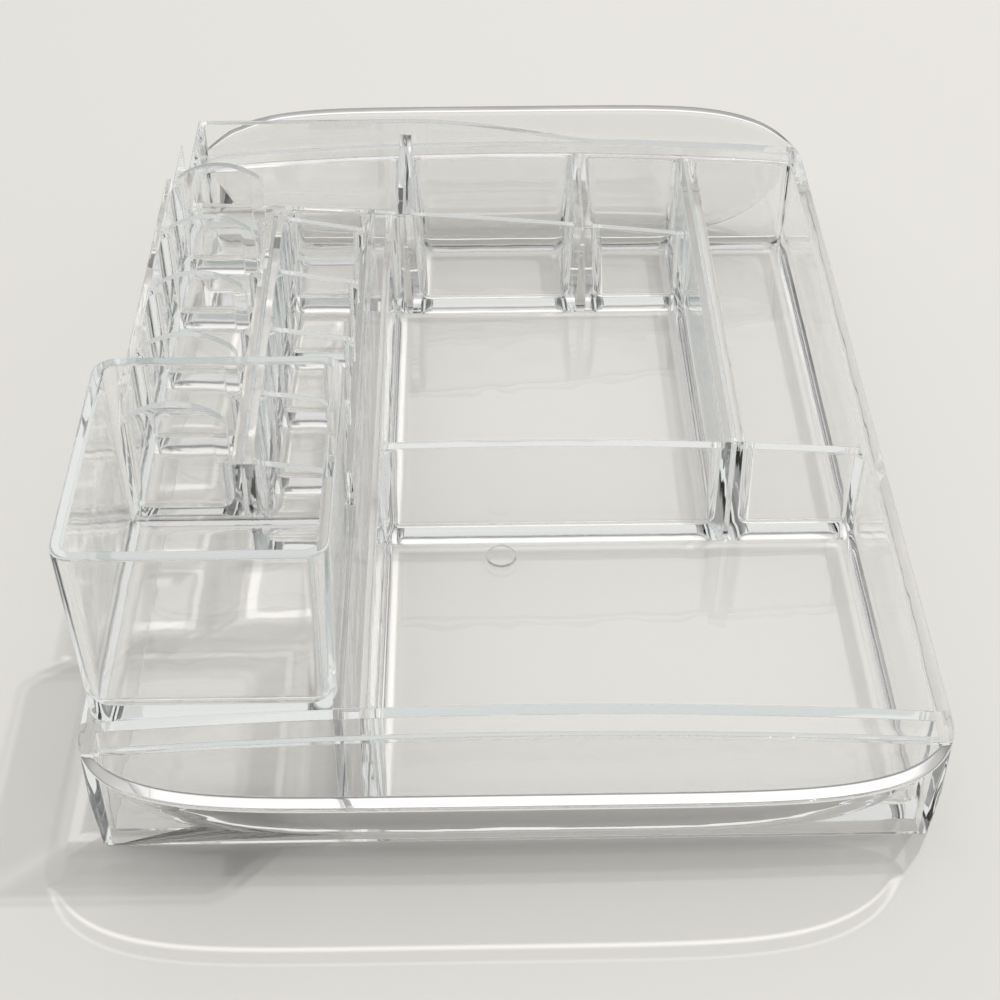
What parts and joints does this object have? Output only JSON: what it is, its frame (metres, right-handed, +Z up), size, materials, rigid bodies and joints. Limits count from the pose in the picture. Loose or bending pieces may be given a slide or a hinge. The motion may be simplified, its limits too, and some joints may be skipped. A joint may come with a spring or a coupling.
{
  "type": "vanity organizer",
  "caption": "Low clear tray with bowed carrying ends, open compartments, a tall brush cup and two stepped columns of lipstick slots.",
  "frame": {"origin": "centre of the flat underside that the tray stands on", "axes": "+X across the tray, away from the brush cup; +Y along the tray, from the brush cup towards the short back row; +Z up"},
  "size_m": [0.212, 0.3294, 0.0904],
  "materials": {
    "clear_polystyrene": "clear gloss"
  },
  "bodies": {
    "root": {"front_handle": "clear_polystyrene", "front_panel": "clear_polystyrene", "front_ledge": "clear_polystyrene", "back_handle": "clear_polystyrene", "back_panel": "clear_polystyrene", "back_ledge": "clear_polystyrene", "left_side_wall": "clear_polystyrene", "right_side_wall": "clear_polystyrene", "brush_cup": "clear_polystyrene", "tall_slot_floor": "clear_polystyrene", "low_slot_floor": "clear_polystyrene", "slot_spine": "clear_polystyrene", "slot_side_wall": "clear_polystyrene", "channel_web": "clear_polystyrene", "compartment_side_wall": "clear_polystyrene", "front_floor": "clear_polystyrene", "middle_floor": "clear_polystyrene", "long_floor": "clear_polystyrene", "back_left_floor": "clear_polystyrene", "back_middle_floor": "clear_polystyrene", "back_right_floor": "clear_polystyrene", "middle_front_wall": "clear_polystyrene", "long_front_wall": "clear_polystyrene", "long_divider": "clear_polystyrene", "back_divider_left": "clear_polystyrene", "back_divider_right": "clear_polystyrene", "back_left_front_wall": "clear_polystyrene", "back_middle_front_wall": "clear_polystyrene", "back_right_front_wall": "clear_polystyrene", "moulding_mark": "clear_polystyrene", "tall_divider_1": "clear_polystyrene", "tall_divider_2": "clear_polystyrene", "tall_divider_3": "clear_polystyrene", "tall_divider_4": "clear_polystyrene", "tall_divider_5": "clear_polystyrene", "low_divider_1": "clear_polystyrene", "low_divider_2": "clear_polystyrene", "low_divider_3": "clear_polystyrene", "low_divider_4": "clear_polystyrene", "low_divider_5": "clear_polystyrene"}
  },
  "joints": []
}
